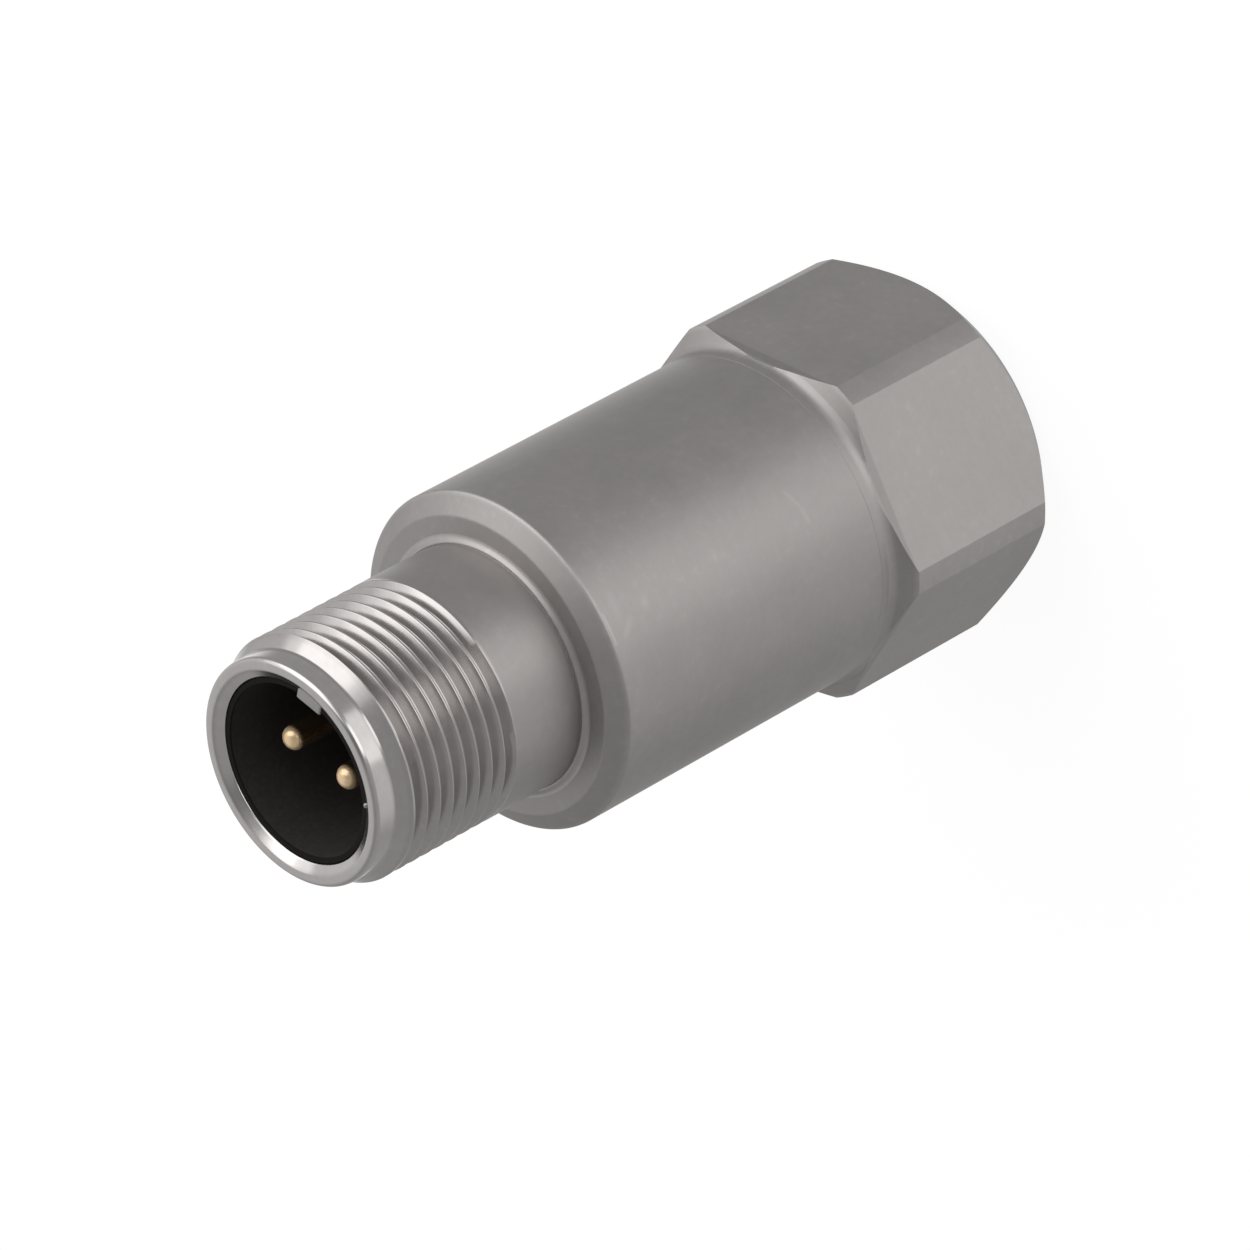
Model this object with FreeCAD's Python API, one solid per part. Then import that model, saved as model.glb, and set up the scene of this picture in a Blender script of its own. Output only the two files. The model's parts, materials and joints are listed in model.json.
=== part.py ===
"""Industrial vibration sensor: hexagonal base, round case with the sensing stack inside, and two-pin socket.

Millimetres. +Z runs along the sensor's axis towards the socket. The origin is the middle of the mounting face.
"""

import math
import os

import FreeCAD, Part

V = FreeCAD.Vector

# Clearances between pieces that slide together, that are pressed together, and round the leads
slip_gap = 0.03
press_gap = 0.01
wire_gap = 0.05

# Connector barrel, from the flange inside the case to the rim
barrel_diameter = 15.875
barrel_flange_width = 1.3325
barrel_flange_thickness = 1.0
neck_length = 5.58
weld_collar_width = 0.58
weld_collar_rise = 0.28
neck_groove_width = 0.27
neck_groove_depth = 0.15
thread_length = 8.47
thread_pitch = 1.058
thread_depth = 0.65
thread_crest_flat = 0.13
thread_root_flat = 0.18
lead_in_height = 0.85
lip_step = 0.6375
lip_length = 1.5
lip_edge_chamfer = 0.15

# Socket in the barrel
socket_wall = 1.9775
mouth_chamfer_width = 0.6
mouth_chamfer_depth = 0.45
seal_ledge_height = 2.85
seal_ledge_width = 0.96
key_width = 2.0
key_height = 0.8
key_length = 4.0

# Clock angles of the socket about the axis, counted from +X, which points at a corner of the hexagon
pin_clock_deg = 50.7
key_clock_deg = -44.3

# Round case, closed at the top by the shoulder
case_wall = 1.675
case_length = 22.65
shoulder_thickness = 1.6
shoulder_chamfer_width = 1.3
shoulder_chamfer_height = 0.8

# Hexagonal base, with its corners turned off and chamfered at both ends
hex_flat_step = 0.075
hex_corner_turning = 0.425
hex_length = 13.2
hex_top_chamfer_deg = 30.0
base_edge_chamfer = 1.835
collar_height = 1.015
collar_root_fillet = 0.8
spigot_height = 1.5

# Tapped mounting hole, as drilled before tapping
tap_drill_diameter = 5.5
tap_drill_depth = 7.0
drill_point_deg = 118.0
hole_countersink = 0.4

# Contacts
pin_spacing = 4.6
pin_diameter = 1.57
pin_nose_radius = 0.75
pin_recess = 1.95
pin_collar_diameter = 2.4
pin_collar_thickness = 0.6
pin_tail_diameter = 1.2
solder_cup_diameter = 1.9
solder_cup_length = 2.2
solder_cup_bore = 0.9
solder_cup_depth = 1.5

# Insulators of the socket
gasket_thickness = 0.3
gasket_land = 0.6
insert_floor = 3.0
liner_wall = 0.36
liner_setback = 0.05
glass_seal_thickness = 2.6

# Foot of the sensing stack
isolation_disc_thickness = 0.8
isolation_disc_margin = 0.5
shield_ledge_thickness = 0.7
shield_spigot_height = 0.9
pedestal_height = 0.6
pedestal_margin = 0.3
bolt_hole_floor = 0.4

# Crystals, electrode and mass
crystal_diameter = 8.4
crystal_thickness = 1.0
electrode_thickness = 0.2
electrode_tab_width = 1.6
electrode_tab_margin = 0.3
top_insulator_thickness = 0.4
mass_side_room = 3.29
mass_height = 4.0
mass_edge_chamfer = 0.4
counterbore_margin = 0.5
counterbore_depth = 2.4

# Preload bolt with its spring washer and centring sleeve
bolt_diameter = 3.0
bolt_clearance = 0.15
bolt_sleeve_wall = 0.3
bolt_head_diameter = 5.4
bolt_head_height = 1.8
bolt_socket_across_flats = 2.5
bolt_socket_depth = 1.2
spring_washer_thickness = 0.5
spring_washer_rise = 0.25

# Shield over the stack, and the insulating sleeve round it
sleeve_wall = 0.3
sleeve_overhang = 0.3
can_wall = 0.35
can_headroom = 0.4
can_corner_chamfer = 0.35
grommet_wall = 0.35
grommet_flange_width = 0.3
grommet_flange_thickness = 0.4

# Circuit board under the connector, and what it carries
board_spacer_height = 2.1
board_spacer_wall = 0.6
board_thickness = 1.0
board_edge_gap = 0.3
chip_length = 4.4
chip_width = 3.6
chip_height = 1.2
chip_bevel = 0.25
chip_place = (-2.4, 3.3)
capacitor_length = 3.2
capacitor_width = 1.6
capacitor_height = 1.4
capacitor_place = (2.4, -4.3)
resistor_length = 1.6
resistor_width = 0.8
resistor_height = 0.45
resistor_places = ((3.2, -1.3), (3.2, -2.6))
end_cap_length = 0.35
end_cap_step = 0.05

# Leads
inner_lead_diameter = 0.5
inner_lead_gap = 0.3
pin_lead_diameter = 0.6
pin_lead_bend = 1.2
pin_lead_straight = 0.5
pad_spacing = 8.0

# Radii that follow, from the barrel outwards and inwards
barrel_radius = barrel_diameter / 2
flange_radius = barrel_radius + barrel_flange_width
case_bore_radius = flange_radius + slip_gap
case_radius = case_bore_radius + case_wall
hex_across_flats = 2 * (case_radius + hex_flat_step)
hex_corner_radius = hex_across_flats / math.sqrt(3) - hex_corner_turning
weld_collar_radius = barrel_radius + weld_collar_width
lip_radius = barrel_radius - lip_step
socket_radius = barrel_radius - socket_wall
rear_bore_radius = socket_radius - seal_ledge_width
insert_radius = socket_radius - slip_gap
liner_bore_radius = insert_radius - liner_wall
sleeve_bore_radius = case_bore_radius - slip_gap - sleeve_wall
can_radius = sleeve_bore_radius - slip_gap
can_bore_radius = can_radius - can_wall
bolt_sleeve_bore_radius = bolt_diameter / 2 + bolt_clearance
bolt_sleeve_radius = bolt_sleeve_bore_radius + bolt_sleeve_wall
stack_bore_radius = bolt_sleeve_radius + slip_gap
counterbore_radius = bolt_head_diameter / 2 + counterbore_margin
mass_radius = can_bore_radius - mass_side_room
inner_lead_place = mass_radius + inner_lead_gap + inner_lead_diameter / 2

# Levels that follow, up through the base and the sensing stack
hex_cone_top = hex_length + (hex_corner_radius - case_radius) * math.tan(math.radians(hex_top_chamfer_deg))
collar_top = hex_cone_top + collar_height
floor_top = collar_top + spigot_height
disc_top = floor_top + isolation_disc_thickness
ledge_top = disc_top + shield_ledge_thickness
foot_top = ledge_top + shield_spigot_height
pedestal_top = foot_top + pedestal_height
electrode_bottom = pedestal_top + crystal_thickness
electrode_top = electrode_bottom + electrode_thickness
crystals_top = electrode_top + crystal_thickness
mass_bottom = crystals_top + top_insulator_thickness
mass_top = mass_bottom + mass_height
mass_seat = mass_top - counterbore_depth
bolt_head_bottom = mass_seat + spring_washer_thickness + spring_washer_rise
bolt_top = bolt_head_bottom + bolt_head_height
can_ceiling = max(mass_top, bolt_top) + can_headroom
can_top = can_ceiling + can_wall

# Levels that follow, from the shoulder up to the rim and down to the circuit board
shoulder_top = collar_top + case_length
shoulder_bottom = shoulder_top - shoulder_thickness
barrel_bottom = shoulder_bottom - barrel_flange_thickness
thread_top = shoulder_top + neck_length + thread_length
lip_start = thread_top + lead_in_height
rim_top = lip_start + lip_length
mouth_edge = rim_top - mouth_chamfer_depth
seal_ledge = shoulder_top + seal_ledge_height
glass_bottom = seal_ledge - glass_seal_thickness
cup_bottom = glass_bottom - solder_cup_length
insert_bottom = seal_ledge + gasket_thickness
pin_collar_top = insert_bottom + pin_collar_thickness
insert_floor_top = insert_bottom + insert_floor
liner_top = mouth_edge - liner_setback
pin_tip = rim_top - pin_recess
board_top = barrel_bottom - board_spacer_height
board_bottom = board_top - board_thickness


def corner_arc(before, corner, after, radius, room):
    """Ends and middle of the arc that rounds a corner, its radius limited by the room along the sides."""
    back = (before - corner).normalize()
    onward = (after - corner).normalize()
    half = back.getAngle(onward) / 2
    cut = min(radius / math.tan(half), room)
    depth = cut * math.tan(half) * (1 / math.sin(half) - 1)
    return corner + back * cut, corner + (back + onward).normalize() * depth, corner + onward * cut


def side_room(points, radii, corner, neighbour):
    """Length of a side that a corner's rounding may use, halved where the other end is rounded too."""
    share = 0.49 if radii[neighbour] > 0 else 0.98
    return share * points[corner].distanceToPoint(points[neighbour])


def path_edges(points, radii, closed):
    """Straight edges through the points, with a tangent arc at each point that has a radius."""
    count = len(points)
    stations = []
    for i, point in enumerate(points):
        after = (i + 1) % count
        if radii[i] > 0:
            room = min(side_room(points, radii, i, i - 1), side_room(points, radii, i, after))
            stations.append(corner_arc(points[i - 1], point, points[after], radii[i], room))
        else:
            stations.append((point, None, point))
    edges = []
    for i in range(count if closed else count - 1):
        start, middle, stop = stations[(i + 1) % count]
        edges.append(Part.LineSegment(stations[i][2], start).toShape())
        if middle:
            edges.append(Part.Arc(start, middle, stop).toShape())
    return edges


def turned(*corners):
    """Solid turned about Z from (radius, height) corners, each with an optional rounding."""
    points = [V(corner[0], 0, corner[1]) for corner in corners]
    radii = [corner[2] if len(corner) > 2 else 0 for corner in corners]
    face = Part.Face(Part.Wire(path_edges(points, radii, closed=True)))
    return face.revolve(V(0, 0, 0), V(0, 0, 1), 360)


def ring(outer_radius, inner_radius, bottom, top):
    """Plain ring about the axis."""
    return turned((inner_radius, bottom), (outer_radius, bottom), (outer_radius, top), (inner_radius, top))


def rod(radius, bottom, top, x=0, y=0):
    """Plain upright cylinder."""
    return Part.makeCylinder(radius, top - bottom, V(x, y, bottom))


def block(length, width, bottom, top, centre):
    """Upright box about the centre of its outline."""
    corner = V(centre[0] - length / 2, centre[1] - width / 2, bottom)
    return Part.makeBox(length, width, top - bottom, corner)


def hex_prism(across_flats, bottom, top):
    """Upright hexagonal prism with a corner on +X."""
    radius = across_flats / math.sqrt(3)
    corners = [V(*on_circle(radius, 60 * i), bottom) for i in range(7)]
    return Part.Face(Part.makePolygon(corners)).extrude(V(0, 0, top - bottom))


def on_circle(radius, clock_deg):
    """Point on a circle about the axis."""
    angle = math.radians(clock_deg)
    return radius * math.cos(angle), radius * math.sin(angle)


def at_pins(spacing):
    """Centres of two features on the line through both pins."""
    return [on_circle(spacing / 2, pin_clock_deg + turn) for turn in (0, 180)]


def drilled(shape, places, radius):
    """Shape with an upright hole right through it at each place."""
    box = shape.BoundBox
    for x, y in places:
        shape = shape.cut(rod(radius, box.ZMin, box.ZMax, x, y))
    return shape


def make_hex_base():
    """Hexagonal base: a turned blank brought to six flats, with the spigot that centres the case."""
    face_radius = hex_corner_radius - base_edge_chamfer
    spigot_radius = case_bore_radius - slip_gap
    blank = turned(
        (0, 0),
        (face_radius, 0),
        (hex_corner_radius, base_edge_chamfer),
        (hex_corner_radius, hex_length),
        (case_radius, hex_cone_top, collar_root_fillet),
        (case_radius, collar_top),
        (spigot_radius, collar_top),
        (spigot_radius, floor_top),
        (0, floor_top),
    )
    flats = hex_prism(hex_across_flats, 0, collar_top)
    bar = flats.fuse(rod(case_radius, 0, floor_top))
    return blank.common(bar).cut(tap_hole()).removeSplitter()


def tap_hole():
    """Space of the tapped hole: countersink, drilled wall and drill point."""
    radius = tap_drill_diameter / 2
    point_length = radius / math.tan(math.radians(drill_point_deg / 2))
    return turned(
        (0, 0),
        (radius + hole_countersink, 0),
        (radius, hole_countersink),
        (radius, tap_drill_depth),
        (0, tap_drill_depth + point_length),
    )


def make_case():
    """Round case: a tube closed by the shoulder that the connector barrel stands up through."""
    hole_radius = weld_collar_radius + slip_gap
    return turned(
        (case_bore_radius, collar_top),
        (case_radius, collar_top),
        (case_radius, shoulder_top - shoulder_chamfer_height),
        (case_radius - shoulder_chamfer_width, shoulder_top),
        (hole_radius, shoulder_top),
        (hole_radius, shoulder_bottom),
        (case_bore_radius, shoulder_bottom),
    )


def make_connector_shell():
    """Connector barrel: flange, weld collar, neck, thread, lip and the keyed socket with its seal ledge."""
    collar_crown = shoulder_top + weld_collar_rise
    groove_top = collar_crown + neck_groove_width
    groove_radius = barrel_radius - neck_groove_depth
    barrel = turned(
        (rear_bore_radius, barrel_bottom),
        (flange_radius, barrel_bottom),
        (flange_radius, shoulder_bottom),
        (weld_collar_radius, shoulder_bottom),
        (weld_collar_radius, collar_crown, weld_collar_rise),
        (groove_radius, collar_crown),
        (groove_radius, groove_top),
        (barrel_radius, groove_top),
        *thread_corners(),
        (barrel_radius, thread_top),
        (lip_radius, lip_start),
        (lip_radius, rim_top - lip_edge_chamfer),
        (lip_radius - lip_edge_chamfer, rim_top),
        (socket_radius + mouth_chamfer_width, rim_top),
        (socket_radius, mouth_edge),
        (socket_radius, seal_ledge),
        (rear_bore_radius, seal_ledge),
    )
    return barrel.fuse(key_block(0, mouth_chamfer_width / 2)).removeSplitter()


def thread_corners():
    """Profile of the connector's thread from the neck upwards, its ridges kept as plain rings at the pitch."""
    root_radius = barrel_radius - thread_depth
    half_mouth = (thread_pitch - thread_crest_flat) / 2
    half_root = thread_root_flat / 2
    count = int(thread_length / thread_pitch)
    first = thread_top - (thread_length + (count - 1) * thread_pitch) / 2
    corners = []
    for turn in range(count):
        middle = first + turn * thread_pitch
        corners += [
            (barrel_radius, middle - half_mouth),
            (root_radius, middle - half_root),
            (root_radius, middle + half_root),
            (barrel_radius, middle + half_mouth),
        ]
    return corners


def key_block(gap, root):
    """Block of the polarising key below the mouth, grown by a gap and carried on outwards by its root."""
    inner = socket_radius - key_height - gap
    outer = socket_radius + root
    width = key_width + 2 * gap
    centre = ((inner + outer) / 2, 0)
    key = block(outer - inner, width, mouth_edge - key_length - gap, mouth_edge, centre)
    return key.rotated(V(0, 0, 0), V(0, 0, 1), key_clock_deg)


def make_insert_gasket():
    """Flat gasket that the insert is pressed on to."""
    return ring(insert_radius, insert_radius - gasket_land, seal_ledge, insert_bottom)


def make_connector_insert():
    """Moulded insert: a floor that holds the pins, and a thin liner with a slot for the key."""
    insert = turned(
        (0, insert_bottom),
        (insert_radius, insert_bottom),
        (insert_radius, liner_top),
        (liner_bore_radius, liner_top),
        (liner_bore_radius, insert_floor_top),
        (0, insert_floor_top),
    )
    insert = insert.cut(key_block(slip_gap, 0))
    insert = drilled(insert, at_pins(pin_spacing), pin_diameter / 2 + press_gap)
    collar_seat = pin_collar_diameter / 2 + press_gap
    for x, y in at_pins(pin_spacing):
        insert = insert.cut(rod(collar_seat, insert_bottom, pin_collar_top, x, y))
    return insert


def make_glass_seal():
    """Glass disc fused round the pin tails in the rear bore."""
    disc = rod(rear_bore_radius - press_gap, glass_bottom, seal_ledge)
    return drilled(disc, at_pins(pin_spacing), pin_tail_diameter / 2 + press_gap)


def make_contact_pins():
    """Two contacts, each with a round nose, a locking collar, a tail through the glass and a solder cup."""
    pin = turned(
        (0, cup_bottom + solder_cup_depth),
        (solder_cup_bore / 2, cup_bottom + solder_cup_depth),
        (solder_cup_bore / 2, cup_bottom),
        (solder_cup_diameter / 2, cup_bottom),
        (solder_cup_diameter / 2, glass_bottom),
        (pin_tail_diameter / 2, glass_bottom),
        (pin_tail_diameter / 2, insert_bottom),
        (pin_collar_diameter / 2, insert_bottom),
        (pin_collar_diameter / 2, pin_collar_top),
        (pin_diameter / 2, pin_collar_top),
        (pin_diameter / 2, pin_tip, pin_nose_radius),
        (0, pin_tip),
    )
    return [pin.translated(V(x, y, 0)) for x, y in at_pins(pin_spacing)]


def make_isolation_disc():
    """Ceramic disc that keeps the sensing stack electrically off the base."""
    return rod(sleeve_bore_radius - isolation_disc_margin, floor_top, disc_top)


def make_stack_foot():
    """Steel foot of the stack: ledge and spigot for the shield, raised crystal seat and the bolt's hole."""
    spigot_radius = can_bore_radius - slip_gap
    pedestal_radius = crystal_diameter / 2 + pedestal_margin
    foot = turned(
        (0, disc_top),
        (can_radius, disc_top),
        (can_radius, ledge_top),
        (spigot_radius, ledge_top),
        (spigot_radius, foot_top),
        (pedestal_radius, foot_top),
        (pedestal_radius, pedestal_top),
        (0, pedestal_top),
    )
    return foot.cut(rod(bolt_diameter / 2 + press_gap, disc_top + bolt_hole_floor, pedestal_top))


def make_stack_ring(bottom, top):
    """Ring as wide as the crystals: a crystal or the insulator above them."""
    return ring(crystal_diameter / 2, stack_bore_radius, bottom, top)


def make_electrode():
    """Thin electrode between the crystals, with the tab that the signal lead stands on."""
    reach = inner_lead_place + inner_lead_diameter / 2 + electrode_tab_margin
    tab = block(reach, electrode_tab_width, electrode_bottom, electrode_top, (reach / 2, 0))
    plate = rod(crystal_diameter / 2, electrode_bottom, electrode_top).fuse(tab)
    return drilled(plate, [(0, 0)], stack_bore_radius).removeSplitter()


def make_seismic_mass():
    """Heavy ring that loads the crystals, counterbored for the head of the bolt."""
    end_radius = mass_radius - mass_edge_chamfer
    return turned(
        (stack_bore_radius, mass_bottom),
        (end_radius, mass_bottom),
        (mass_radius, mass_bottom + mass_edge_chamfer),
        (mass_radius, mass_top - mass_edge_chamfer),
        (end_radius, mass_top),
        (counterbore_radius, mass_top),
        (counterbore_radius, mass_seat),
        (stack_bore_radius, mass_seat),
    )


def make_spring_washer():
    """Dished washer that keeps the stack clamped, resting on its outer edge under the head of the bolt."""
    outer = counterbore_radius - slip_gap
    thickness, rise = spring_washer_thickness, spring_washer_rise
    return turned(
        (outer, mass_seat),
        (outer, mass_seat + thickness),
        (stack_bore_radius, mass_seat + thickness + rise),
        (stack_bore_radius, mass_seat + rise),
    )


def make_preload_bolt():
    """Socket-head bolt that clamps mass, crystals and electrode to the foot."""
    hole_bottom = disc_top + bolt_hole_floor
    shank_and_head = turned(
        (0, hole_bottom),
        (bolt_diameter / 2, hole_bottom),
        (bolt_diameter / 2, bolt_head_bottom),
        (bolt_head_diameter / 2, bolt_head_bottom),
        (bolt_head_diameter / 2, bolt_top),
        (0, bolt_top),
    )
    return shank_and_head.cut(hex_prism(bolt_socket_across_flats, bolt_top - bolt_socket_depth, bolt_top))


def make_shield_can():
    """Drawn shield over the stack, standing on the ledge of the foot, with a hole for the grommet."""
    can = turned(
        (can_bore_radius, ledge_top),
        (can_radius, ledge_top),
        (can_radius, can_top - can_corner_chamfer),
        (can_radius - can_corner_chamfer, can_top),
        (0, can_top),
        (0, can_ceiling),
        (can_bore_radius, can_ceiling),
    )
    hole_radius = inner_lead_diameter / 2 + wire_gap + grommet_wall + slip_gap
    return can.cut(rod(hole_radius, can_ceiling, can_top, inner_lead_place))


def make_lead_grommet():
    """Grommet that insulates the signal lead where it leaves the shield."""
    bore_radius = inner_lead_diameter / 2 + wire_gap
    radius = bore_radius + grommet_wall
    flange_top = can_top + grommet_flange_thickness
    grommet = turned(
        (bore_radius, can_ceiling),
        (radius, can_ceiling),
        (radius, can_top),
        (radius + grommet_flange_width, can_top),
        (radius + grommet_flange_width, flange_top),
        (bore_radius, flange_top),
    )
    return grommet.translated(V(inner_lead_place, 0, 0))


def make_shield_sleeve():
    """Insulating sleeve between the shield and the bore of the case."""
    return ring(sleeve_bore_radius + sleeve_wall, sleeve_bore_radius, floor_top, can_top + sleeve_overhang)


def make_board_spacer():
    """Ring under the flange of the barrel that the circuit board is bonded to."""
    return ring(flange_radius, flange_radius - board_spacer_wall, board_top, barrel_bottom)


def make_circuit_board():
    """Round circuit board with a hole for each lead."""
    board = rod(case_bore_radius - board_edge_gap, board_bottom, board_top)
    inner_leads = [(inner_lead_place, 0), (-inner_lead_place, 0)]
    board = drilled(board, inner_leads, inner_lead_diameter / 2 + wire_gap)
    return drilled(board, at_pins(pad_spacing), pin_lead_diameter / 2 + wire_gap)


def make_amplifier_chip():
    """Moulded amplifier chip with bevelled top edges."""
    top = board_top + chip_height
    chip = block(chip_length, chip_width, board_top, top, chip_place)
    top_edges = [edge for edge in chip.Edges if edge.BoundBox.ZMin > top - chip_bevel]
    return chip.makeChamfer(chip_bevel, top_edges)


def make_end_capped(length, width, height, place):
    """Small component whose two metal end caps stand proud of its body."""
    step = end_cap_step
    body = block(length, width - 2 * step, board_top, board_top + height - step, place)
    shift = (length - end_cap_length) / 2
    for side in (-shift, shift):
        cap = block(end_cap_length, width, board_top, board_top + height, (place[0] + side, place[1]))
        body = body.fuse(cap)
    return body.removeSplitter()


def make_inner_lead(bottom, x):
    """Straight lead up to the circuit board."""
    return rod(inner_lead_diameter / 2, bottom, board_top, x)


def make_pin_leads():
    """Two leads from the solder cups to the board, each with an S-bend that takes up movement."""
    leads = []
    for cup, pad in zip(at_pins(pin_spacing), at_pins(pad_spacing)):
        points = [
            V(*cup, cup_bottom + solder_cup_depth),
            V(*cup, cup_bottom - pin_lead_straight),
            V(*pad, board_top + pin_lead_straight),
            V(*pad, board_bottom),
        ]
        path = Part.Wire(path_edges(points, [0, pin_lead_bend, pin_lead_bend, 0], closed=False))
        section = Part.Wire(Part.makeCircle(pin_lead_diameter / 2, points[0], V(0, 0, -1)))
        leads.append(path.makePipeShell([section], True, True))
    return leads


def make_parts():
    """Every piece of the sensor by its node name."""
    contact_pin_a, contact_pin_b = make_contact_pins()
    pin_lead_a, pin_lead_b = make_pin_leads()
    resistor_a, resistor_b = [
        make_end_capped(resistor_length, resistor_width, resistor_height, place) for place in resistor_places
    ]
    capacitor = make_end_capped(capacitor_length, capacitor_width, capacitor_height, capacitor_place)
    return {
        "hex_base": make_hex_base(),
        "case": make_case(),
        "connector_shell": make_connector_shell(),
        "insert_gasket": make_insert_gasket(),
        "connector_insert": make_connector_insert(),
        "glass_seal": make_glass_seal(),
        "contact_pin_a": contact_pin_a,
        "contact_pin_b": contact_pin_b,
        "isolation_disc": make_isolation_disc(),
        "stack_foot": make_stack_foot(),
        "lower_crystal": make_stack_ring(pedestal_top, electrode_bottom),
        "electrode": make_electrode(),
        "upper_crystal": make_stack_ring(electrode_top, crystals_top),
        "top_insulator": make_stack_ring(crystals_top, mass_bottom),
        "seismic_mass": make_seismic_mass(),
        "bolt_sleeve": ring(bolt_sleeve_radius, bolt_sleeve_bore_radius, pedestal_top, mass_seat),
        "spring_washer": make_spring_washer(),
        "preload_bolt": make_preload_bolt(),
        "shield_can": make_shield_can(),
        "lead_grommet": make_lead_grommet(),
        "shield_sleeve": make_shield_sleeve(),
        "board_spacer": make_board_spacer(),
        "circuit_board": make_circuit_board(),
        "amplifier_chip": make_amplifier_chip(),
        "filter_capacitor": capacitor,
        "bias_resistor_a": resistor_a,
        "bias_resistor_b": resistor_b,
        "signal_lead": make_inner_lead(electrode_top, inner_lead_place),
        "ground_lead": make_inner_lead(can_top, -inner_lead_place),
        "pin_lead_a": pin_lead_a,
        "pin_lead_b": pin_lead_b,
    }


os.makedirs("parts", exist_ok=True)
for node, shape in make_parts().items():
    shape.exportStep(f"parts/{node}.step")
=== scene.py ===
"""Looks of the vibration sensor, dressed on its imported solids.

The connector barrel, the case and the hexagonal base are turned again with broken edges, a cut thread and a
tapped hole. The insert and the contacts are finished for the view into the socket, and every solid that stays
as it was packed gets the finish of its own slot. Sizes are in millimetres until a mesh is done, and +Z points
to the socket. Only the studio's lamps and floor are sized in metres.
"""

import json
import logging
import math
from dataclasses import dataclass
from enum import Enum
from typing import Any, Optional, Union

import bmesh
import bpy
from mathutils import Matrix, Quaternion, Vector


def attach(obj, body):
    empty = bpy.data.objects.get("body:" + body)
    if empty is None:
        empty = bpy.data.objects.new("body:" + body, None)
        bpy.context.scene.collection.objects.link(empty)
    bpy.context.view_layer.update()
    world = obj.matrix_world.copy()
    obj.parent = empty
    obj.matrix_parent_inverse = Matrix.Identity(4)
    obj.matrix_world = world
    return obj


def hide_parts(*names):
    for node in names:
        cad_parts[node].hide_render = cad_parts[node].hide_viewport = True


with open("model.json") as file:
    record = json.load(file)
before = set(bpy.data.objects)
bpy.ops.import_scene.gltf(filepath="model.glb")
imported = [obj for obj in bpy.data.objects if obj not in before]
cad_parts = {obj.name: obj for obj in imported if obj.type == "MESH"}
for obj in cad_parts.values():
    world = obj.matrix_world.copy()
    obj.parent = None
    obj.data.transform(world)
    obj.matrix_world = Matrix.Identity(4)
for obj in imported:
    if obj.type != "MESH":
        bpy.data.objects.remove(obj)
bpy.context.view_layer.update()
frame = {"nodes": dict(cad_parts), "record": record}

log = logging.getLogger("vibration_sensor")

MM = 0.001
CUT_TOLERANCE = 1e-5

Colour = tuple[float, float, float]
Number = Union["Signal", float]


class Slot(Enum):
    """The record's material slots."""

    STEEL = "stainless_steel"
    RUBBER = "gasket_rubber"
    MOULDING = "insert_plastic"
    GLASS = "seal_glass"
    GOLD = "contact_gold"
    ALUMINA = "white_ceramic"
    GROUND_STEEL = "inner_steel"
    CRYSTAL = "crystal_ceramic"
    BRONZE = "electrode_bronze"
    FILM = "insulating_film"
    SHIELD = "shield_metal"
    LAMINATE = "board_laminate"
    COMPONENT = "component_ceramic"
    COPPER = "lead_copper"


# Shader work


class Signal:
    """A shader socket that can be calculated with."""

    def __init__(self, bench: "ShaderBench", socket: bpy.types.NodeSocket) -> None:
        """Keeps the socket and the bench that its nodes are added on."""
        self.bench = bench
        self.socket = socket

    def __add__(self, other: Number) -> "Signal":
        """Sum."""
        return self.bench.math("ADD", self, other)

    def __radd__(self, other: float) -> "Signal":
        """Sum with a number in front."""
        return self.bench.math("ADD", other, self)

    def __sub__(self, other: Number) -> "Signal":
        """Difference."""
        return self.bench.math("SUBTRACT", self, other)

    def __rsub__(self, other: float) -> "Signal":
        """Difference from a number in front."""
        return self.bench.math("SUBTRACT", other, self)

    def __mul__(self, other: Number) -> "Signal":
        """Product."""
        return self.bench.math("MULTIPLY", self, other)

    def __rmul__(self, other: float) -> "Signal":
        """Product with a number in front."""
        return self.bench.math("MULTIPLY", other, self)

    def __abs__(self) -> "Signal":
        """Size without its sign."""
        return self.bench.math("ABSOLUTE", self)


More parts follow.
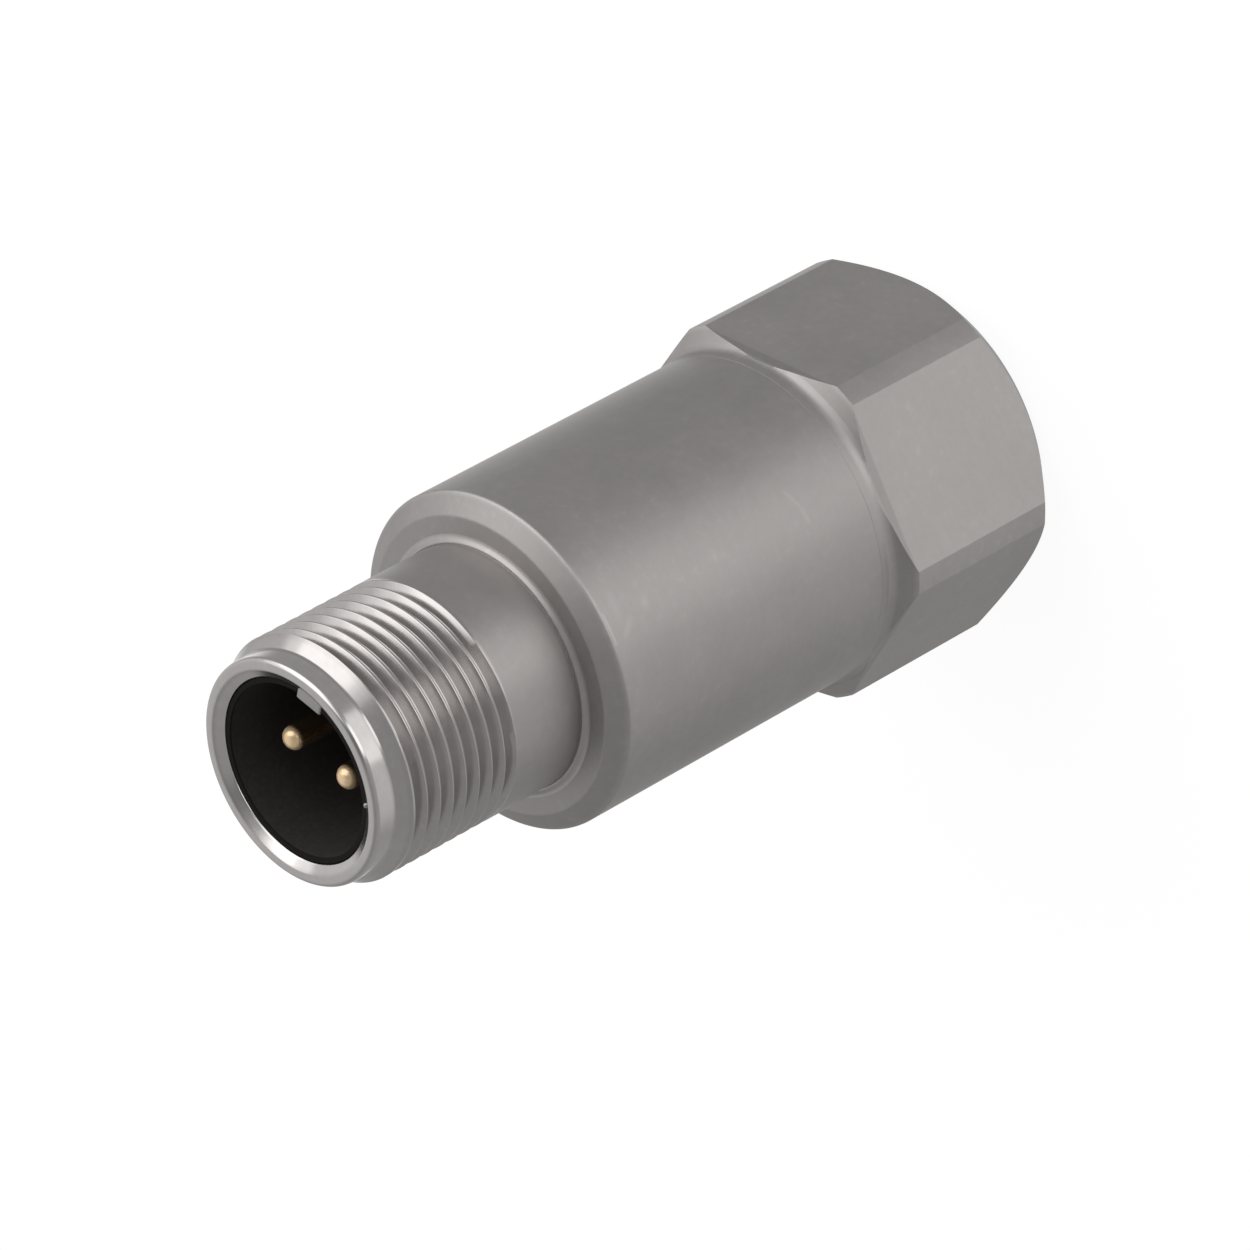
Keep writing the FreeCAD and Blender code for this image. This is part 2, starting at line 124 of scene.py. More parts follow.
class ShaderBench:
    """Adds nodes to one material's or world's tree."""

    def __init__(self, tree: bpy.types.NodeTree) -> None:
        """Empties the tree.

        Args:
            tree: node tree to work on.
        """
        self.tree = tree
        tree.nodes.clear()

    def node(
        self,
        kind: str,
        settings: Optional[dict[str, Any]] = None,
        inputs: Optional[dict[Union[int, str], Any]] = None,
        output: Union[int, str] = 0,
    ) -> Signal:
        """Adds a node.

        Args:
            kind: type of the node.
            settings: attributes, such as a Math node's operation, which are set first.
            inputs: values or signals by socket.
            output: socket that is handed on.

        Returns:
            The chosen output.
        """
        made = self.tree.nodes.new(kind)
        for name, value in (settings or {}).items():
            setattr(made, name, value)
        for name, value in (inputs or {}).items():
            if isinstance(value, Signal):
                self.tree.links.new(value.socket, made.inputs[name])
            else:
                made.inputs[name].default_value = value
        return Signal(self, made.outputs[output] if len(made.outputs) else None)

    def math(self, operation: str, *terms: Number) -> Signal:
        """Adds one Math node on the terms."""
        return self.node("ShaderNodeMath", {"operation": operation}, dict(enumerate(terms)))

    def place(self) -> Signal:
        """Place on the piece, in millimetres."""
        spot = self.node("ShaderNodeTexCoord", output="Object")
        return self.node("ShaderNodeVectorMath", {"operation": "SCALE"}, {0: spot, "Scale": 1 / MM})

    def part_of(self, vector: Signal, axis: str) -> Signal:
        """One coordinate of a vector."""
        return self.node("ShaderNodeSeparateXYZ", inputs={0: vector}, output=axis)

    def noise(self, place: Signal, per_mm: float, detail: float = 3.0, rough: float = 0.5) -> Signal:
        """Even noise from 0 to 1 with so many waves to the millimetre."""
        waves = {"Vector": place, "Scale": per_mm, "Detail": detail, "Roughness": rough}
        return self.node("ShaderNodeTexNoise", inputs=waves)

    def fade(self, value: Number, start: float, stop: float) -> Signal:
        """Smooth rise from 0 at start to 1 at stop."""
        span = {"Value": value, "From Min": start, "From Max": stop}
        return self.node("ShaderNodeMapRange", {"interpolation_type": "SMOOTHSTEP"}, span)

    def blend(self, share: Number, low: Union[Signal, Colour], high: Union[Signal, Colour]) -> Signal:
        """Colour between two others."""
        ends = [tone if isinstance(tone, Signal) else (*tone, 1.0) for tone in (low, high)]
        return self.node("ShaderNodeMix", {"data_type": "RGBA"}, {0: share, 6: ends[0], 7: ends[1]}, 2)

    def relief(self, height_mm: Signal) -> Signal:
        """Normal from a height in millimetres."""
        return self.node("ShaderNodeBump", inputs={"Strength": 1.0, "Distance": MM, "Height": height_mm})

    def surface(self, **inputs: Any) -> None:
        """Ends the tree in a Principled shader.

        Args:
            inputs: values or signals by socket, with underscores for the spaces in its name.
        """
        sockets = {name.replace("_", " "): value for name, value in inputs.items()}
        if "IOR" not in sockets:
            sockets["IOR"] = 1.5
        shader = self.node("ShaderNodeBsdfPrincipled", inputs=sockets)
        self.node("ShaderNodeOutputMaterial", inputs={"Surface": shader})


@dataclass(frozen=True)
class LightStreak:
    """A short lighter streak on a round surface, between two places given by clock angle and height, used for
    real rubs and for painted highlights.
    """

    start: tuple[float, float]
    stop: tuple[float, float]
    width: float
    strength: float

    def mask(self, bench: ShaderBench, arc: Signal, height: Signal, ragged: Signal, radius: float) -> Signal:
        """Share of the streak at each point.

        Args:
            bench: bench of the material.
            arc: length round the surface, in millimetres.
            height: height, in millimetres.
            ragged: noise that frays the streak.
            radius: radius of the surface.

        Returns:
            Mask from 0 to the streak's strength.
        """
        places = (self.start, self.stop)
        first, last = (Vector((math.radians(clock) * radius, level)) for clock, level in places)
        middle, run = (first + last) / 2, last - first
        along = run.normalized()
        right, up = arc - middle.x, height - middle.y
        lengthwise = abs(right * along.x + up * along.y)
        crosswise = abs(up * along.x - right * along.y) + (ragged - 0.5) * self.width
        ends = bench.fade(lengthwise, run.length / 2 + self.width, run.length / 2 - self.width)
        return ends * bench.fade(crosswise, self.width, 0.0) * self.strength


@dataclass(frozen=True)
class Finish:
    """A finish and the name of its material."""

    name: str

    def material(self) -> bpy.types.Material:
        """Builds the material.

        Returns:
            Material with the finish's own nodes.
        """
        made = bpy.data.materials.get(self.name) or bpy.data.materials.new(self.name)
        made.use_nodes = True
        self.build(ShaderBench(made.node_tree))
        return made

    def build(self, bench: ShaderBench) -> None:
        """Adds the finish's nodes on the bench."""
        raise NotImplementedError


@dataclass(frozen=True)
class Cut:
    """Gloss that the last cut left from a height upwards, and a painted gain on the colour there: painted
    light above 1, painted shade below 1.
    """

    bottom: float
    roughness: float
    gain: float


@dataclass(frozen=True)
class SatinSteel(Finish):
    """Turned or milled stainless steel: faint tool lines, fine grain, cloudy tone, rubs with some painted
    highlights among them, and zones above given cuts painted lighter or darker (painted light and shade).
    """

    tone: Colour = (0.46, 0.440, 0.432)
    roughness: float = 0.48
    cloud: float = 0.10
    cloud_per_mm: float = 0.16
    speck_per_mm: float = 1.7
    line_per_mm: float = 2.6
    line_height: float = 0.0006
    grain_per_mm: float = 7.0
    grain_height: float = 0.0004
    cut_blend: float = 0.1
    rub_and_glint_gain: float = 1.6
    rub_and_glint_height: float = 0.004
    radius: float = 10.975
    rub_and_glint_streaks: tuple[LightStreak, ...] = ()
    cuts: tuple[Cut, ...] = ()

    def build(self, bench: ShaderBench) -> None:
        """Adds the steel's nodes.

        Args:
            bench: bench of the material.
        """
        place = bench.place()
        height = bench.part_of(place, "Z")
        level = bench.node("ShaderNodeCombineXYZ", inputs={"Z": height})
        cloudy = bench.noise(place, self.cloud_per_mm, 5.0, 0.62)
        specks = bench.noise(place, self.speck_per_mm, 4.0, 0.6)
        lines = bench.noise(level, self.line_per_mm, 3.0, 0.6)
        grain = bench.noise(place, self.grain_per_mm, 2.0, 0.6)
        rubs_and_glint = self.rubs_and_glint(bench, place, height, specks)
        wear = bench.fade(specks, 0.56, 0.72) * bench.fade(cloudy, 0.42, 0.62)
        shade = 0.5 + (cloudy - 0.5) * 1.1 + (specks - 0.5) * 0.75 + wear * 0.25 + (lines - 0.5) * 0.25
        tone = self.toned(bench, shade, 1.0)
        gloss = self.roughness + (cloudy - 0.5) * 0.10 + (specks - 0.5) * 0.06 - wear * 0.02 + rubs_and_glint * 0.10
        last = self.roughness
        # Each cut zone also scales the colour: painted light where its gain is above 1, painted shade below
        # 1.
        for cut in self.cuts:
            above = bench.fade(height, cut.bottom - self.cut_blend, cut.bottom + self.cut_blend)
            tone = bench.blend(above, tone, self.toned(bench, shade, cut.gain))
            gloss = gloss + above * (cut.roughness - last)
            last = cut.roughness
        # Lighter streaks: real rubs, and painted highlights listed among them.
        tone = bench.blend(rubs_and_glint, tone, tuple(min(1.0, part * self.rub_and_glint_gain) for part in self.tone))
        relief = lines * self.line_height + grain * self.grain_height + rubs_and_glint * self.rub_and_glint_height
        bench.surface(Base_Color=tone, Metallic=1.0, Roughness=gloss, Normal=bench.relief(relief))

    def toned(self, bench: ShaderBench, shade: Signal, gain: float) -> Signal:
        """Makes the cloudy tone of the steel.

        Args:
            bench: bench of the material.
            shade: share of the lighter tone.
            gain: scale on the plain steel's colour, which paints light above 1 and shade below 1.

        Returns:
            Colour from the darker to the lighter tone.
        """
        low = tuple(part * gain * (1 - self.cloud) for part in self.tone)
        high = tuple(part * gain * (1 + self.cloud) for part in self.tone)
        return bench.blend(shade, low, high)

    def rubs_and_glint(self, bench: ShaderBench, place: Signal, height: Signal, ragged: Signal) -> Number:
        """Adds up the rubs and the painted highlights.

        Args:
            bench: bench of the material.
            place: place on the piece, in millimetres.
            height: its Z part.
            ragged: noise that frays the streaks.

        Returns:
            Mask of all streaks, rubs and painted highlights alike, or 0 where there are none.
        """
        if not self.rub_and_glint_streaks:
            return 0.0
        turn = bench.math("ARCTAN2", bench.part_of(place, "Y"), bench.part_of(place, "X"))
        arc = turn * self.radius
        masks = [streak.mask(bench, arc, height, ragged, self.radius) for streak in self.rub_and_glint_streaks]
        total = masks[0]
        for mask in masks[1:]:
            total = bench.math("MAXIMUM", total, mask)
        return total


@dataclass(frozen=True)
class PlatedMetal(Finish):
    """Plated, drawn or rolled metal with fine lines along the piece, which may turn satin higher up."""

    tone: Colour
    deep_tone: Colour
    roughness: float = 0.22
    grain_per_mm: float = 4.0
    grain_height: float = 0.0004
    satin_above: Optional[float] = None
    satin_blend: float = 0.4
    satin_share: float = 0.55

    def build(self, bench: ShaderBench) -> None:
        """Adds the metal's nodes.

        Args:
            bench: bench of the material.
        """
        place = bench.place()
        drawn = bench.node("ShaderNodeMapping", inputs={"Vector": place, "Scale": (1.0, 1.0, 0.2)})
        lines = bench.noise(drawn, self.grain_per_mm, 3.0, 0.6)
        cloudy = bench.noise(place, 0.7, 3.0)
        tone = bench.blend(cloudy * 0.7 + lines * 0.3, self.deep_tone, self.tone)
        gloss = self.roughness + (cloudy - 0.5) * 0.12 + (lines - 0.5) * 0.08
        metal: Number = 1.0
        if self.satin_above is not None:
            height = bench.part_of(place, "Z")
            satin = bench.fade(height, self.satin_above, self.satin_above + self.satin_blend)
            metal = 1.0 - satin * self.satin_share
        relief = bench.relief(lines * self.grain_height)
        bench.surface(Base_Color=tone, Metallic=metal, Roughness=gloss, Normal=relief)


@dataclass(frozen=True)
class Moulding(Finish):
    """Moulded, cast or fired material: a speckled body with a fine surface grain, and where asked a painted
    shade that turns it near-black above a height.
    """

    tone: Colour
    speck_tone: Colour
    roughness: float = 0.5
    speck_per_mm: float = 3.0
    speck_share: float = 0.25
    grain_height: float = 0.002
    coat: float = 0.0
    shine: float = 0.5
    painted_shade_above: Optional[float] = None
    painted_shade_blend: float = 0.1
    painted_shade_tone: Colour = (0.011, 0.010, 0.0095)

    def build(self, bench: ShaderBench) -> None:
        """Adds the body's nodes.

        Args:
            bench: bench of the material.
        """
        place = bench.place()
        specks = bench.noise(place, self.speck_per_mm, 4.0, 0.65)
        cloudy = bench.noise(place, self.speck_per_mm * 0.12, 3.0)
        share = bench.fade(specks, 0.62 - self.speck_share, 0.78) * 0.6 + cloudy * 0.4
        tone = bench.blend(share, self.tone, self.speck_tone)
        # Painted shade: the body turns near-black above the given height.
        if self.painted_shade_above is not None:
            height = bench.part_of(place, "Z")
            painted_shade = bench.fade(height, self.painted_shade_above - self.painted_shade_blend, self.painted_shade_above)
            tone = bench.blend(painted_shade, tone, self.painted_shade_tone)
        gloss = self.roughness + (specks - 0.5) * 0.14 + (cloudy - 0.5) * 0.08
        relief = bench.relief(specks * self.grain_height)
        bench.surface(
            Base_Color=tone,
            Roughness=gloss,
            Normal=relief,
            Coat_Weight=self.coat,
            Specular_IOR_Level=self.shine,
        )


# Mesh work

Corner = tuple[float, ...]


@dataclass
class Lathe:
    """Turns profiles about the sensor's axis."""

    steps: int = 288
    rounding_segments: int = 4
    support: float = 0.03
    merge_distance: float = 1e-4

    def profile(self, mesh: bmesh.types.BMesh, corners: list[Corner], closed: bool) -> None:
        """Draws a profile from its corners.

        Args:
            mesh: empty mesh to draw in.
            corners: radius and height of each corner, and how far its rounding reaches along its sides.
            closed: whether the last corner joins the first.
        """
        spots: list[Vector] = []
        rounded: list[tuple[int, float]] = []
        for index, corner in enumerate(corners):
            spot = Vector((corner[0], 0.0, corner[1]))
            before = self.support_beside(corners, index, index - 1)
            after = self.support_beside(corners, index, (index + 1) % len(corners))
            spots += before
            if len(corner) > 2:
                rounded.append((len(spots), corner[2]))
            spots += [spot, *after]
        points = [mesh.verts.new(spot) for spot in spots]
        count = len(points)
        for index in range(count if closed else count - 1):
            mesh.edges.new((points[index], points[(index + 1) % count]))
        for index, reach in rounded:
            bmesh.ops.bevel(
                mesh,
                geom=[points[index]],
                offset=reach,
                segments=self.rounding_segments,
                profile=0.5,
                affect="VERTICES",
                material=-1,
            )

    def support_beside(self, corners: list[Corner], index: int, neighbour: int) -> list[Vector]:
        """Point just past a corner's rounding, which keeps the shading of the side next to it flat.

        Args:
            corners: corners of the profile.
            index: corner that may be rounded.
            neighbour: corner at the other end of the side.

        Returns:
            The point, or nothing where the corner is sharp or the side is short.
        """
        corner, other = corners[index], corners[neighbour]
        if len(corner) < 3:
            return []
        spot, far = Vector((corner[0], 0.0, corner[1])), Vector((other[0], 0.0, other[1]))
        taken = corner[2] + (other[2] if len(other) > 2 else 0.0)
        if (far - spot).length < taken + 4 * self.support:
            return []
        return [spot + (far - spot).normalized() * (corner[2] + self.support)]

    def turn(self, mesh: bmesh.types.BMesh) -> None:
        """Spins what the mesh holds into a full turn and closes its seam and poles.

        Args:
            mesh: mesh with the profile.
        """
        bmesh.ops.spin(
            mesh,
            geom=mesh.verts[:] + mesh.edges[:],
            cent=(0, 0, 0),
            axis=(0, 0, 1),
            dvec=(0, 0, 0),
            angle=math.tau,
            steps=self.steps,
            use_merge=True,
        )
        bmesh.ops.remove_doubles(mesh, verts=mesh.verts, dist=self.merge_distance)

    def turned(self, corners: list[Corner], closed: bool = True) -> bmesh.types.BMesh:
        """Turns a shape.

        Args:
            corners: corners of its profile, as for profile.
            closed: whether the last corner joins the first.

        Returns:
            The turned mesh.
        """
        mesh = bmesh.new()
        self.profile(mesh, corners, closed)
        self.turn(mesh)
        return mesh


@dataclass
class RightHandThread:
    """A single-start thread, cut as an open strip that can be sewn into a turned wall."""

    pitch: float
    surface_radius: float
    root_radius: float
    bottom: float
    top: float
    crest_level: float
    crest_flat: float
    root_flat: float
    fade_in: float = 0.35
    corner_rounding: float = 0.05
    steps: int = 160
    spare_turns: float = 1.5
    merge_distance: float = 0.004

    def strip(self) -> bmesh.types.BMesh:
        """Cuts the thread between its two levels.

        Returns:
            Open mesh whose two rims lie on the plain surface.
        """
        mesh = bmesh.new()
        lathe = Lathe(rounding_segments=3)
        below = math.ceil((self.crest_level - self.bottom) / self.pitch + self.spare_turns)
        first = self.crest_level - below * self.pitch
        turns = math.ceil((self.top - first) / self.pitch + self.spare_turns)
        lathe.profile(mesh, self.one_pitch(first), closed=False)
        bmesh.ops.spin(
            mesh,
            geom=mesh.verts[:] + mesh.edges[:],
            cent=(0, 0, 0),
            axis=(0, 0, 1),
            dvec=(0, 0, self.pitch / self.steps),
            angle=math.tau,
            steps=self.steps,
            use_merge=False,
        )
        one_turn = mesh.verts[:] + mesh.edges[:] + mesh.faces[:]
        for turn in range(1, turns):
            copied = bmesh.ops.duplicate(mesh, geom=one_turn)["geom"]
            moved = [item for item in copied if isinstance(item, bmesh.types.BMVert)]
            bmesh.ops.translate(mesh, vec=(0, 0, turn * self.pitch), verts=moved)
        bmesh.ops.remove_doubles(mesh, verts=mesh.verts, dist=self.merge_distance)
        self.run_out(mesh)
        self.trim(mesh)
        return mesh

    def one_pitch(self, crest: float) -> list[Corner]:
        """Lists the corners of one pitch, from the middle of a root to the middle of the next.

        Args:
            crest: height of the crest between them.

        Returns:
            Corners in rising order.
        """
        half, flat, root = self.pitch / 2, self.crest_flat / 2, self.root_flat / 2
        rounding = self.corner_rounding
        return [
            (self.root_radius, crest - half),
            (self.root_radius, crest - half + root, rounding),
            (self.surface_radius, crest - flat, rounding),
            (self.surface_radius, crest + flat, rounding),
            (self.root_radius, crest + half - root, rounding),
            (self.root_radius, crest + half),
        ]

    def run_out(self, mesh: bmesh.types.BMesh) -> None:
        """Lets the groove rise to the plain surface at both ends.

        Args:
            mesh: mesh of the thread.
        """
        for vertex in mesh.verts:
            reach = min(self.top - vertex.co.z, vertex.co.z - self.bottom) / self.fade_in
            share = max(0.0, min(1.0, reach))
            share = share * share * (3 - 2 * share)
            radius = math.hypot(vertex.co.x, vertex.co.y)
            scale = (self.surface_radius + (radius - self.surface_radius) * share) / radius
            vertex.co.x *= scale
            vertex.co.y *= scale

    def trim(self, mesh: bmesh.types.BMesh) -> None:
        """Cuts the strip off square at both levels.

        Args:
            mesh: mesh of the thread.
        """
        for level, upper in ((self.bottom, False), (self.top, True)):
            bmesh.ops.bisect_plane(
                mesh,
                geom=mesh.verts[:] + mesh.edges[:] + mesh.faces[:],
                dist=CUT_TOLERANCE,
                plane_co=(0, 0, level),
                plane_no=(0, 0, 1),
                clear_outer=upper,
                clear_inner=not upper,
            )

    def sew_into(self, body: bmesh.types.BMesh, reach: float) -> None:
        """Joins the strip to a turned wall that is open between its levels.

        Args:
            body: mesh that the strip is added to.
            reach: distance from the strip's rims to the rims of the wall.
        """
        strip = self.strip()
        carried = bpy.data.meshes.new("carried_thread")
        strip.to_mesh(carried)
        strip.free()
        body.from_mesh(carried)
        bpy.data.meshes.remove(carried)
        for level in (self.bottom, self.top):
            rims = [edge for edge in body.edges if edge.is_boundary and self.is_near(edge, level, reach)]
            bmesh.ops.bridge_loops(body, edges=rims)

    def is_near(self, edge: bmesh.types.BMEdge, level: float, reach: float) -> bool:
        """Whether an edge lies on a rim at the level."""
        return all(abs(vertex.co.z - level) < reach * 1.5 for vertex in edge.verts)


@dataclass
class Piece:
    """What a finished mesh becomes: a named object that stands for solids of the frame."""

    name: str
    slot: Slot
    finish: Finish
    replaces: tuple[str, ...] = ()
    edge_width: float = 0.0
    edge_angle: float = 25.0
    sharp_angle: float = 30.0

    def place(self, mesh: bmesh.types.BMesh) -> bpy.types.Object:
        """Turns the mesh, still in millimetres, into the piece.

        Args:
            mesh: closed mesh, freed here.

        Returns:
            The object, at the origin.
        """
        bmesh.ops.recalc_face_normals(mesh, faces=mesh.faces)
        bmesh.ops.scale(mesh, vec=(MM, MM, MM), verts=mesh.verts)
        data = bpy.data.meshes.new(self.name)
        mesh.to_mesh(data)
        mesh.free()
        data.shade_smooth()
        data.set_sharp_from_angle(angle=math.radians(self.sharp_angle))
        data.materials.append(self.finish.material())
        made = bpy.data.objects.new(self.name, data)
        bpy.context.scene.collection.objects.link(made)
        if self.edge_width:
            self.break_edges(made)
        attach(made, "root")
        if self.replaces:
            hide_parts(*self.replaces)
        stands_for = ", ".join(self.replaces) or "itself"
        log.info("%s: %d faces, stands for %s", self.name, len(data.polygons), stands_for)
        return made

    def break_edges(self, made: bpy.types.Object) -> None:
        """Bevels the sharp edges and keeps the faces beside them flat.

        Args:
            made: the piece's object.
        """
        bevel = made.modifiers.new("broken_edges", "BEVEL")
        bevel.width = self.edge_width * MM
        bevel.segments = 3
        bevel.limit_method = "ANGLE"
        bevel.angle_limit = math.radians(self.edge_angle)
        bevel.harden_normals = True


def at_clock(radius: float, clock_deg: float) -> Vector:
    """Point on a circle about the axis."""
    angle = math.radians(clock_deg)
    return Vector((radius * math.cos(angle), radius * math.sin(angle), 0.0))


def towards(clock_deg: float, rise_deg: float) -> Vector:
    """Direction at a clock angle and a rise above the floor."""
    rise = math.radians(rise_deg)
    return at_clock(math.cos(rise), clock_deg) + Vector((0.0, 0.0, math.sin(rise)))


# The sensor


@dataclass
class ConnectorBarrel:
    """Threaded barrel with its weld bead and keyed socket, from the flange inside the case to the rim."""

    barrel_radius: float = 7.9375
    flange_radius: float = 9.27
    flange_bottom: float = 35.05
    flange_top: float = 36.05
    weld_collar_radius: float = 8.5175
    weld_collar_top: float = 37.66
    bead_toe_radius: float = 8.33
    bead_toe: float = 37.68
    bead_toe_rounding: float = 0.13
    bead_radius: float = 8.04
    bead_top: float = 37.93
    bead_rounding: float = 0.09
    groove_radius: float = 7.89
    groove_bottom: float = 37.86
    groove_top: float = 38.08
    groove_rounding: float = 0.03
    neck_top: float = 43.23
    neck_rounding: float = 0.04
    thread_top: float = 51.70
    lip_start: float = 52.55
    lip_radius: float = 7.30
    lip_rounding: float = 0.10
    rim_top: float = 54.049
    rim_rounding: float = 0.36
    mouth_radius: float = 6.62
    mouth_rounding: float = 0.10
    mouth_edge: float = 53.60
    socket_radius: float = 5.96
    socket_rounding: float = 0.08
    seal_ledge: float = 40.50
    rear_bore_radius: float = 5.0
    pitch: float = 1.058
    thread_root_radius: float = 7.30
    crest_level: float = 50.892
    crest_flat: float = 0.12
    root_flat: float = 0.15
    seam: float = 0.04
    key_width: float = 2.0
    key_height: float = 0.8
    key_length: float = 4.0
    key_root: float = 0.25
    key_rounding: float = 0.12
    key_clock: float = -44.3
    burr_size: tuple[float, float, float] = (0.36, 0.34, 0.30)
    burr_clock: float = -117.7
    finish: Finish = SatinSteel(
        "barrel_steel",
        radius=7.9375,
        # The cuts paint the thread, the lead-in cone, the lip and the rim lighter: painted highlight.
        cuts=(Cut(43.2, 0.24, 1.1), Cut(51.9, 0.21, 1.18), Cut(52.7, 0.19, 1.38), Cut(53.95, 0.20, 1.12)),
    )
    key_finish: Finish = SatinSteel("key_steel", tone=(0.39, 0.373, 0.366), roughness=0.4)

    def build(self) -> None:
        """Builds the barrel, its key and the burr at its mouth."""
        body = Lathe().turned(self.corners(), closed=False)
        thread = RightHandThread(
            pitch=self.pitch,
            surface_radius=self.barrel_radius,
            root_radius=self.thread_root_radius,
            bottom=self.neck_top + self.seam,
            top=self.thread_top - self.seam,
            crest_level=self.crest_level,
            crest_flat=self.crest_flat,
            root_flat=self.root_flat,
        )
        thread.sew_into(body, self.seam)
        Piece("threaded_barrel", Slot.STEEL, self.finish, ("connector_shell",)).place(body)
        Piece("socket_key", Slot.STEEL, self.key_finish).place(self.key())
        Piece("mouth_burr", Slot.STEEL, self.key_finish).place(self.burr())

    def corners(self) -> list[Corner]:
        """Lists the corners of the barrel, open along its thread.

        Returns:
            Profile from the top of the thread over the rim, down the socket and up the neck.
        """
        return [
            (self.barrel_radius, self.thread_top),
            (self.lip_radius, self.lip_start, self.lip_rounding),
            (self.lip_radius, self.rim_top, self.rim_rounding),
            (self.mouth_radius, self.rim_top, self.mouth_rounding),
            (self.socket_radius, self.mouth_edge, self.socket_rounding),
            (self.socket_radius, self.seal_ledge),
            (self.rear_bore_radius, self.seal_ledge),
            (self.rear_bore_radius, self.flange_bottom),
            (self.flange_radius, self.flange_bottom),
            (self.flange_radius, self.flange_top),
            (self.weld_collar_radius, self.flange_top),
            (self.weld_collar_radius, self.weld_collar_top),
            (self.bead_toe_radius, self.bead_toe, self.bead_toe_rounding),
            (self.bead_radius, self.bead_top, self.bead_rounding),
            (self.groove_radius, self.groove_bottom, self.groove_rounding),
            (self.groove_radius, self.groove_top, self.groove_rounding),
            (self.barrel_radius, self.groove_top, self.neck_rounding),
            (self.barrel_radius, self.neck_top - self.seam),
            (self.barrel_radius, self.neck_top),
        ]

    def key(self) -> bmesh.types.BMesh:
        """Makes the polarising key, rooted in the socket's wall just below the mouth.

        Returns:
            The key in its place.
        """
        depth = self.key_height + self.key_root
        mesh = bmesh.new()
        bmesh.ops.create_cube(mesh, size=1.0)
        bmesh.ops.scale(mesh, vec=(depth, self.key_width, self.key_length), verts=mesh.verts)
        bmesh.ops.bevel(
            mesh,
            geom=mesh.edges[:],
            offset=self.key_rounding,
            segments=3,
            profile=0.5,
            affect="EDGES",
            material=-1,
        )
        middle = self.socket_radius + self.key_root - depth / 2
        bmesh.ops.translate(mesh, vec=(middle, 0, self.mouth_edge - self.key_length / 2), verts=mesh.verts)
        turn = Matrix.Rotation(math.radians(self.key_clock), 3, "Z")
        bmesh.ops.rotate(mesh, cent=(0, 0, 0), matrix=turn, verts=mesh.verts)
        return mesh

    def burr(self) -> bmesh.types.BMesh:
        """Makes the tiny burr left on the edge of the mouth.

        Returns:
            The burr in its place.
        """
        mesh = bmesh.new()
        bmesh.ops.create_icosphere(mesh, subdivisions=2, radius=0.5)
        bmesh.ops.scale(mesh, vec=self.burr_size, verts=mesh.verts)
        spot = at_clock(self.socket_radius, self.burr_clock) + Vector((0, 0, self.mouth_edge))
        bmesh.ops.translate(mesh, vec=spot, verts=mesh.verts)
        return mesh


@dataclass
class RoundCase:
    """Case with its chamfered shoulder, up to the weld bead of the barrel."""

    radius: float = 10.975
    bore_radius: float = 9.30
    bottom: float = 15.0
    bottom_rounding: float = 0.015
    shoulder_bottom: float = 36.05
    top: float = 37.65
    chamfer_width: float = 1.30
    chamfer_height: float = 0.80
    shoulder_rounding: float = 0.14
    top_rounding: float = 0.08
    hole_radius: float = 8.515
    finish: Finish = SatinSteel(
        "case_steel",
        # The cut paints the shoulder and its chamfer darker: painted shade.
        cuts=(Cut(36.95, 0.54, 0.88),),
        rub_and_glint_streaks=(
            LightStreak((-83.6, 33.4), (-86.2, 33.5), 0.50, 0.30),
            LightStreak((-87.2, 34.9), (-91.7, 35.8), 0.40, 0.20),
            LightStreak((-76.5, 35.5), (-85.0, 35.65), 0.45, 0.12),
            LightStreak((-77.5, 33.4), (-79.5, 33.5), 0.38, 0.14),
            LightStreak((-75.5, 20.3), (-82.0, 19.75), 0.22, 0.17),
            LightStreak((-82.0, 19.75), (-88.0, 19.65), 0.26, 0.19),
            # This last streak is a painted highlight: a thin light line along the lower edge of the shoulder
            # chamfer.
            LightStreak((-81.8, 36.62), (-92.5, 36.58), 0.14, 0.45),
        ),
    )

    def build(self) -> None:
        """Builds the case."""
        corners = [
            (self.bore_radius, self.bottom),
            (self.radius, self.bottom, self.bottom_rounding),
            (self.radius, self.top - self.chamfer_height, self.shoulder_rounding),
            (self.radius - self.chamfer_width, self.top, self.top_rounding),
            (self.hole_radius, self.top),
            (self.hole_radius, self.shoulder_bottom),
            (self.bore_radius, self.shoulder_bottom),
        ]
        Piece("round_case", Slot.STEEL, self.finish, ("case",)).place(Lathe().turned(corners))


